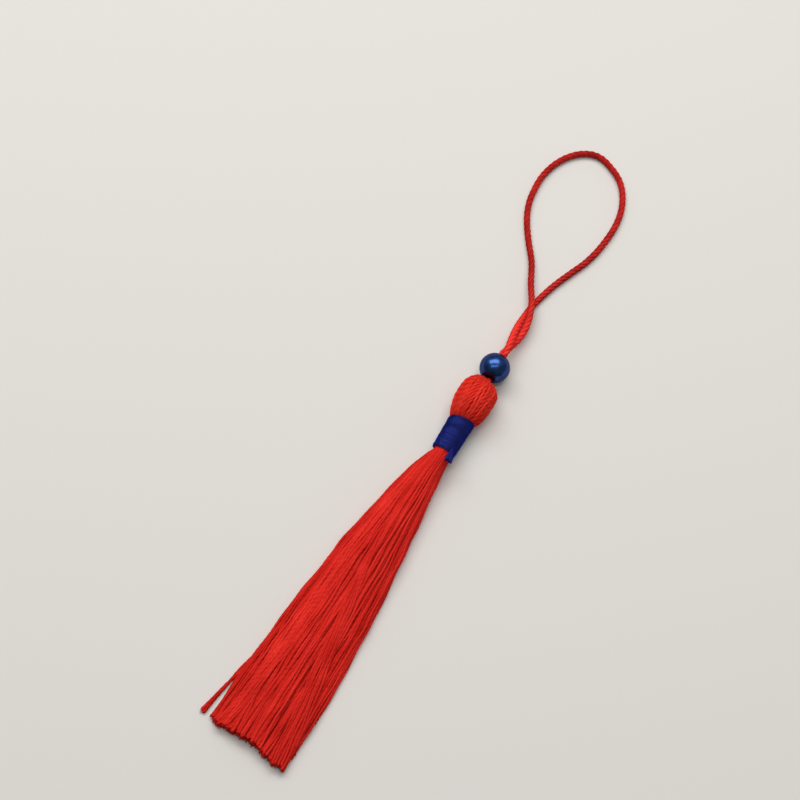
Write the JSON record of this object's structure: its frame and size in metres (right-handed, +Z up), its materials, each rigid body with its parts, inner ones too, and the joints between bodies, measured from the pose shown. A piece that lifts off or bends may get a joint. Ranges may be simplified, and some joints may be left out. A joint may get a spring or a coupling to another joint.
{
  "type": "silk tassel",
  "caption": "Small tassel lying flat: round yarn head over a thread binding, loose yarn skirt, a pearl bead and a twisted hanging loop.",
  "frame": {"origin": "on the table, under the middle of the tassel without its hanging loop", "axes": "+Y along the tassel from the cut ends of the skirt to the hanging loop, +Z up from the table, +X to the right"},
  "size_m": [0.0191, 0.1354, 0.0072],
  "materials": {
    "red_silk": "soft lustre silk yarn",
    "navy_thread": "close wound satin thread",
    "navy_pearl": "pearl lacquer",
    "red_cord": "twisted silk cord"
  },
  "bodies": {
    "root": {"yarn_bundle": "red_silk", "binding_thread": "navy_thread", "bead": "navy_pearl", "hanging_cord": "red_cord"}
  },
  "joints": []
}
